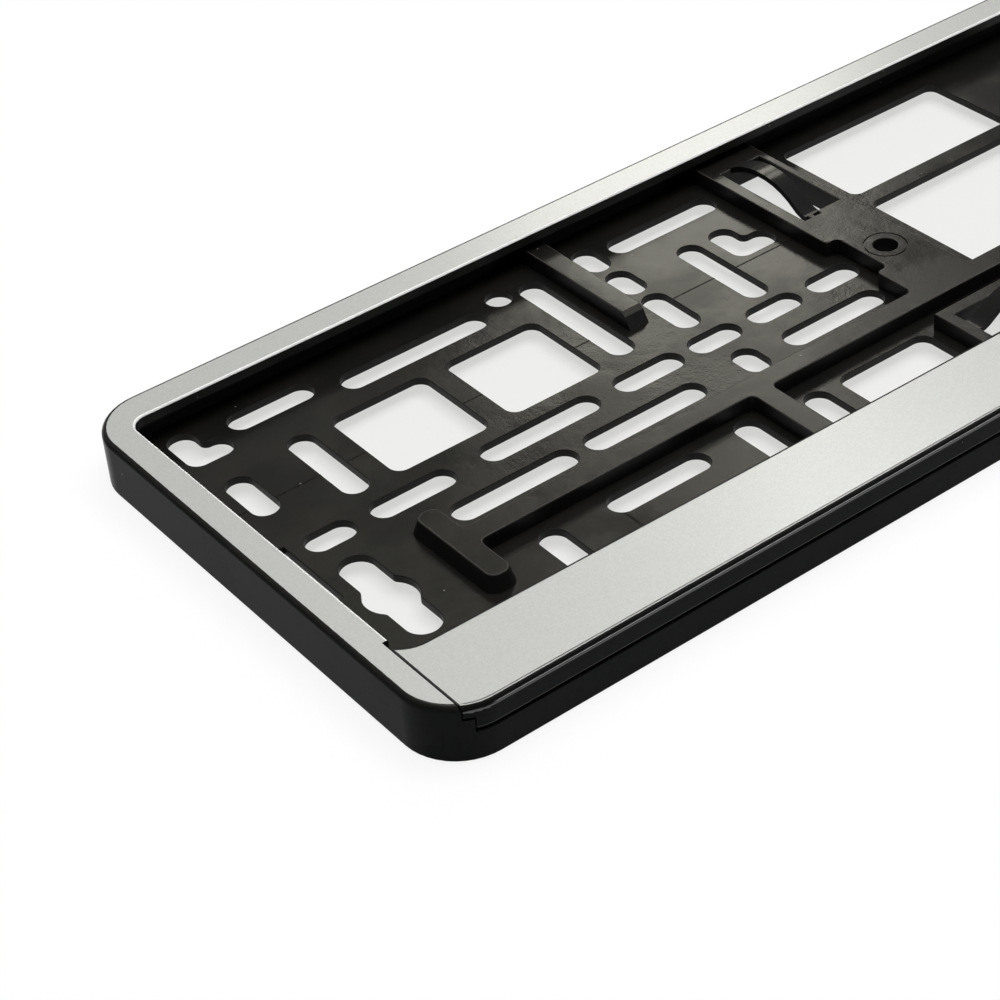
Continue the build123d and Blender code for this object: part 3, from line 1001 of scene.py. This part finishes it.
@dataclass
class StripMoulding(Moulding):
    """The clip-on strip along the front: foil face, rounded front edge, skirt and tongues."""

    skirt_ease: float = 0.2 * MM
    rear_ease: float = 0.2 * MM
    bare_edge: float = 0.4 * MM
    rear_lean: float = 0.05

    def on_skirt(self, edge: bmesh.types.BMEdge) -> bool:
        """Whether an edge is the outer lower edge of the skirt."""
        return level_edge(edge, LEVELS.skirt_foot) and self.inset(edge.verts[0].co) < NEAR

    def on_rear(self, edge: bmesh.types.BMEdge) -> bool:
        """Whether an edge is the upper edge that faces the plate."""
        return level_edge(edge, LEVELS.top) and self.inset(edge.verts[0].co) > LEVELS.strip_round + NEAR

    def finish(self, face: bmesh.types.BMFace) -> Face:
        """Says which finish a face has.

        Args:
            face: the face.

        Returns:
            The finish.
        """
        lowest = min(corner.co.z for corner in face.verts)
        lean = face.normal.z
        inset = self.face_inset(face)
        front_round = NEAR < inset < LEVELS.strip_round + NEAR and lean > 0.0
        if face.tag:
            return Face.SIDE
        if lowest > LEVELS.top - NEAR or front_round:
            return Face.FOIL
        if lowest > LEVELS.top - self.rear_ease - NEAR and lean > self.rear_lean:
            return Face.SIDE
        if inset < NEAR:
            return Face.OUTSIDE
        return Face.SIDE if abs(lean) < STEEP else Face.INSIDE

    def bare_rear(self, mesh: bmesh.types.BMesh) -> None:
        """Splits off and tags the bare edge that the foil leaves beside the plate.

        Args:
            mesh: the strip's mesh.
        """
        least = LEVELS.top - NEAR
        top = [face for face in mesh.faces if all(corner.co.z > least for corner in face.verts)]
        ring = bmesh.ops.inset_region(mesh, faces=top, thickness=self.bare_edge, use_even_offset=True)
        reach = LEVELS.strip_round + self.bare_edge + NEAR
        rear = {face for face in ring["faces"]
                if min(self.inset(corner.co) for corner in face.verts) > reach}
        for face in mesh.faces:
            face.tag = face in rear
        for corner in mesh.verts:
            corner.co.z = min(corner.co.z, LEVELS.top)

    def build(self, materials: list[bpy.types.Material]) -> bpy.types.Object:
        """Makes the dressed strip.

        Args:
            materials: its finishes, in the order of Face.

        Returns:
            The piece.
        """
        mesh = merged_mesh(self.node)
        ease_edges(mesh, (Ease(self.skirt_ease, self.on_skirt), Ease(self.rear_ease, self.on_rear)))
        self.bare_rear(mesh)
        piece = finished_piece("strip_moulding", mesh, self.finish, materials)
        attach(piece, Body.STRIP.value)
        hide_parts(self.node.name)
        return piece


@dataclass(frozen=True)
class Shot:
    """Camera at the photograph's angle, over the holder's left front corner."""

    place: Point = (-0.45525, -0.36473, 0.33816)
    turn: Point = (52.2986, 3.7217, -37.7265)
    lens: float = 93.08
    sensor: float = 36.0
    nearest: float = 0.01

    def build(self) -> None:
        """Makes the camera and gives it to the scene."""
        data = bpy.data.cameras.new("camera")
        data.lens = self.lens
        data.sensor_width = self.sensor
        data.clip_start = self.nearest
        camera = bpy.data.objects.new("camera", data)
        camera.location = self.place
        camera.rotation_euler = [math.radians(angle) for angle in self.turn]
        bpy.context.scene.collection.objects.link(camera)
        bpy.context.scene.camera = camera


@dataclass(frozen=True)
class Lamp:
    """A soft rectangular lamp that faces the holder, placed by its bearing from the middle."""

    name: str
    azimuth: float
    elevation: float
    width: float
    height: float
    radiance: float
    distance: float = 5.0
    colour: Colour = (1.0, 1.0, 1.0)
    in_gloss: bool = True

    def build(self) -> None:
        """Makes the lamp."""
        data = bpy.data.lights.new(self.name, "AREA")
        data.shape = "RECTANGLE"
        data.size = self.width
        data.size_y = self.height
        data.energy = self.radiance * math.pi * self.width * self.height
        data.color = self.colour
        lamp = bpy.data.objects.new(self.name, data)
        bearing = math.radians(self.azimuth)
        rise = math.radians(self.elevation)
        reach = math.cos(rise)
        out = Vector((math.sin(bearing) * reach, math.cos(bearing) * reach, math.sin(rise)))
        lamp.location = out * self.distance
        lamp.rotation_euler = out.to_track_quat("Z", "Y").to_euler()
        lamp.visible_glossy = self.in_gloss
        bpy.context.scene.collection.objects.link(lamp)


LAMPS = (
    Lamp("softbox_behind", azimuth=38.3, elevation=31.0, width=0.75, height=0.9, radiance=2.55,
         colour=(1.0, 0.985, 0.92)),
    Lamp("softbox_high", azimuth=46.0, elevation=41.5, width=0.7, height=0.7, radiance=2.6),
    Lamp("bounce_board", azimuth=33.0, elevation=45.5, width=1.6, height=0.8, radiance=0.4),
    Lamp("strip_light", azimuth=150.0, elevation=11.0, width=1.8, height=0.35, radiance=9.0),
    Lamp("softbox_side", azimuth=100.0, elevation=62.0, width=1.6, height=1.6, radiance=5.0,
         in_gloss=False),
    Lamp("top_light", azimuth=0.0, elevation=88.0, width=1.6, height=1.6, radiance=3.9, distance=1.6,
         in_gloss=False),
)


@dataclass(frozen=True)
class Studio:
    """White table, a grey sheet under the holder that paints the shade there, a room that is brighter
    behind the holder, and the lamps.
    """

    room_back: float = 0.2
    room_front: float = 0.02
    room_bearing: Point = (0.6, 0.78, 0.15)
    room_span: tuple[float, float] = (-0.2, 0.9)
    table_side: float = 30.0
    table_drop: float = 0.2 * MM
    table_white: Colour = (0.985, 0.985, 0.985)
    table_glow: float = 0.88
    # A grey sheet the size of the holder just under it: painted shade, the darker table seen through the
    # holes.
    shade_sheet_length: float = 522.0 * MM
    shade_sheet_depth: float = 125.0 * MM
    shade_sheet_grey: Colour = (0.825, 0.825, 0.81)
    shade_sheet_glow: float = 0.76
    lamps: tuple[Lamp, ...] = LAMPS

    def world(self) -> None:
        """Lights the room, brighter behind the holder than in front of it."""
        world = bpy.data.worlds.new("room")
        bpy.context.scene.world = world
        world.use_nodes = True
        wiring = Wiring(world.node_tree)
        background = world.node_tree.nodes["Background"]
        background.inputs["Color"].default_value = (1.0, 1.0, 1.0, 1.0)
        turn = wiring.node("ShaderNodeVectorMath", operation="DOT_PRODUCT")
        wiring.feed(turn.inputs[0], wiring.node("ShaderNodeTexCoord").outputs["Generated"])
        turn.inputs[1].default_value = Vector(self.room_bearing).normalized()
        wiring.feed(background.inputs["Strength"],
                    wiring.ramp(turn.outputs["Value"], *self.room_span, self.room_front, self.room_back))

    @staticmethod
    def sheet(name: str, length: float, depth: float, height: float, white: Colour, shine: float) -> None:
        """Makes a level sheet that keeps the holder's shadow and looks white to the camera.

        Args:
            name: the sheet's name.
            length: its size along X.
            depth: its size along Y.
            height: its level.
            white: its colour.
            shine: share of its white that no shadow takes away.
        """
        signs = ((-1, -1), (1, -1), (1, 1), (-1, 1))
        corners = [(x * length / 2, y * depth / 2, height) for x, y in signs]
        sheet = plain_object(name, corners, [], [(0, 1, 2, 3)])
        material = bpy.data.materials.new(name)
        material.use_nodes = True
        wiring = Wiring(material.node_tree)
        material.node_tree.nodes.remove(material.node_tree.nodes["Principled BSDF"])
        matt = wiring.node("ShaderNodeBsdfDiffuse")
        glow = wiring.node("ShaderNodeEmission")
        for part in (matt, glow):
            part.inputs["Color"].default_value = (*white, 1.0)
        rays = wiring.node("ShaderNodeLightPath").outputs
        seen = wiring.math("MAXIMUM", rays["Is Camera Ray"], rays["Is Glossy Ray"])
        seen = wiring.math("MAXIMUM", seen, rays["Is Transmission Ray"])
        mix = wiring.node("ShaderNodeMixShader")
        wiring.feed(mix.inputs[0], wiring.math("MULTIPLY", seen, shine))
        wiring.feed(mix.inputs[1], matt.outputs[0])
        wiring.feed(mix.inputs[2], glow.outputs[0])
        wiring.feed(material.node_tree.nodes["Material Output"].inputs["Surface"], mix.outputs[0])
        sheet.data.materials.append(material)

    def build(self) -> None:
        """Sets up the room, the table and the lamps."""
        bpy.context.scene.view_settings.view_transform = "Standard"
        self.world()
        self.sheet("table", self.table_side, self.table_side, -self.table_drop, self.table_white,
                   self.table_glow)
        # The grey sheet under the holder is painted shade.
        self.sheet("under_holder_shade", self.shade_sheet_length, self.shade_sheet_depth, -self.table_drop / 2, self.shade_sheet_grey,
                   self.shade_sheet_glow)
        for lamp in self.lamps:
            lamp.build()


def main() -> None:
    """Builds the dressed holder and its studio."""
    logging.basicConfig(level=logging.INFO, format="%(name)s: %(message)s")
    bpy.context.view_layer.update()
    low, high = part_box("base_frame")
    half_length = (high.x - low.x) / 2
    half_depth = (high.y - low.y) / 2

    effects = Effects()
    inside = BlackPlastic("smooth_black", colour=(0.0075, 0.0075, 0.0071),
                          warm_colour=(0.0105, 0.0100, 0.0090), sheen_tint=(1.0, 0.98, 0.81),
                          gloss_low=0.13, gloss_high=0.23, specular=0.48, patches=55.0, grains=1400.0,
                          grain_depth=0.016 * MM, wave_depth=0.05 * MM).material(effects)
    outside = BlackPlastic("grained_black", colour=(0.0072, 0.0079, 0.0079),
                           warm_colour=(0.0084, 0.0089, 0.0088),
                           gloss_low=0.22, gloss_high=0.30, specular=0.022, patches=30.0, grains=2200.0,
                           grain_depth=0.02 * MM).material(effects)
    side = BlackPlastic("drawn_black", colour=(0.0105, 0.0105, 0.0102),
                        warm_colour=(0.0130, 0.0127, 0.0120),
                        gloss_low=0.42, gloss_high=0.5, specular=0.13, patches=40.0, grains=2400.0,
                        grain_depth=0.01 * MM).material(effects)
    # A lighter black on the eased edges of the bars and panel and on the nose facets: a painted highlight,
    # the light line that their rounding catches.
    edge = BlackPlastic("edge_highlight_black", colour=(0.035, 0.034, 0.031), warm_colour=(0.05, 0.049, 0.043),
                        gloss_low=0.38, gloss_high=0.5, specular=0.45, patches=60.0, grains=2400.0,
                        grain_depth=0.006 * MM).material(effects)
    rim_foil = SilverFoil("rim_foil", half_length, half_depth, LEVELS.corner_radius,
                          margin=LEVELS.rim_round + LEVELS.rim_bare, end=half_length,
                          offset=LEVELS.rim_stamp_shift).material(effects)
    # The lip's inner rounding gets a pale, nearly matt foil: a painted highlight, the white line that light
    # draws along that edge.
    lip_highlight_foil = SilverFoil("lip_highlight_foil", half_length, half_depth, LEVELS.corner_radius,
                          margin=LEVELS.rim_round, end=half_length, colour=(0.86, 0.865, 0.84),
                          pale_colour=(0.93, 0.935, 0.91), metal=0.05, roughness=0.35).material(effects)
    strip_foil = SilverFoil("strip_foil", half_length, half_depth, LEVELS.corner_radius,
                            margin=LEVELS.strip_bare,
                            end=LEVELS.strip_end - LEVELS.strip_end_bare).material(effects)

    base = BaseMoulding(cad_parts["base_frame"], half_length, half_depth)
    strip = StripMoulding(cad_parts["retaining_strip"], half_length, half_depth)
    holder = base.build([inside, outside, rim_foil, side, edge, lip_highlight_foil])
    pieces = [holder, MouldLines().build(inside), FloorCrumbs(holder).build(side),
              strip.build([inside, outside, strip_foil, side, edge])]
    for piece in pieces:
        LOG.info("%s: %d faces", piece.name, len(piece.data.polygons))

    Studio().build()
    Shot().build()


if __name__ == "__main__":
    main()
